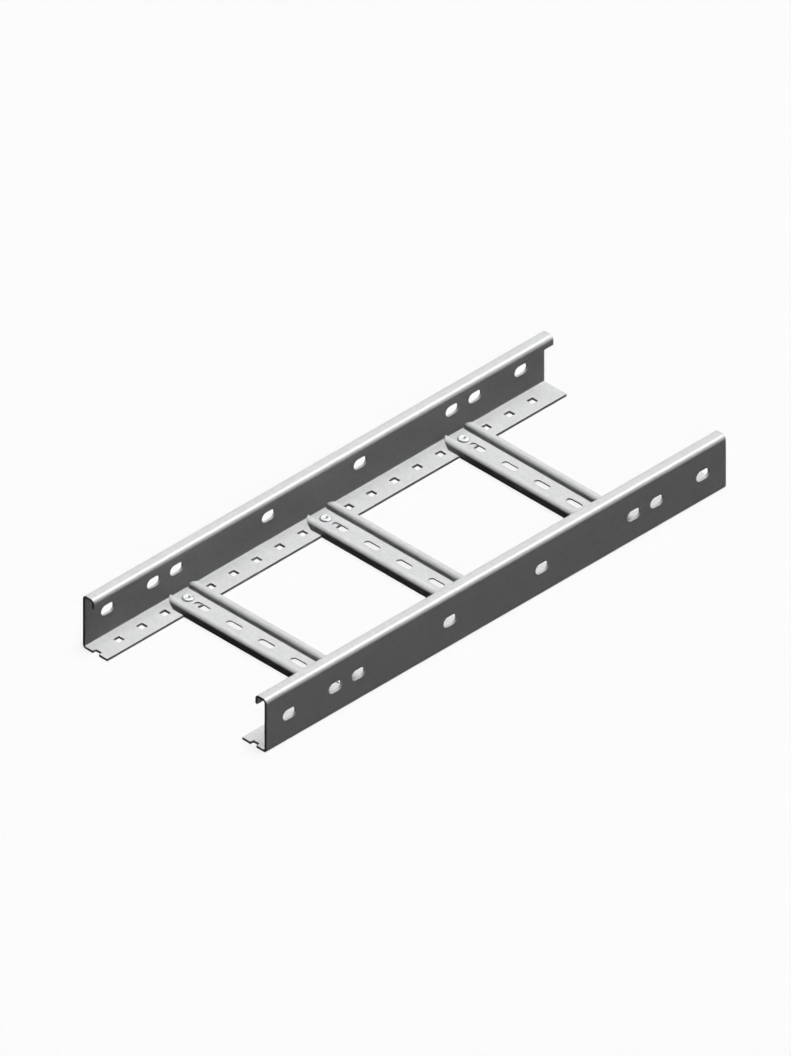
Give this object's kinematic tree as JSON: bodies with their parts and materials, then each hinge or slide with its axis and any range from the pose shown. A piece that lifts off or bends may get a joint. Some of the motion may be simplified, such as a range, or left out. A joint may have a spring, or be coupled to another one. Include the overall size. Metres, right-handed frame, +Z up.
{
  "type": "cable ladder section",
  "caption": "Straight section of perforated steel cable ladder: slotted side rails with rounded top flanges, joined by ribbed slotted rungs riveted to their bottom flanges.",
  "frame": {"origin": "on the floor under the middle of the ladder: centre of the bounding box's bottom face", "axes": "+Y along the rails towards the plain end (the end with the half hole in each flange is at -Y), +X across the ladder towards the right rail, +Z up from the floor; the cable bed opens upwards"},
  "size_m": [0.4, 1, 0.1],
  "materials": {
    "rail_steel": "galvanised, satin",
    "rung_steel": "galvanised, satin",
    "rivet_steel": "galvanised, satin"
  },
  "bodies": {
    "root": {"rail_left": "rail_steel", "rail_right": "rail_steel", "rung_1": "rung_steel", "rung_2": "rung_steel", "rung_3": "rung_steel", "rivet_1_left": "rivet_steel", "rivet_1_right": "rivet_steel", "rivet_2_left": "rivet_steel", "rivet_2_right": "rivet_steel", "rivet_3_left": "rivet_steel", "rivet_3_right": "rivet_steel"}
  },
  "joints": []
}
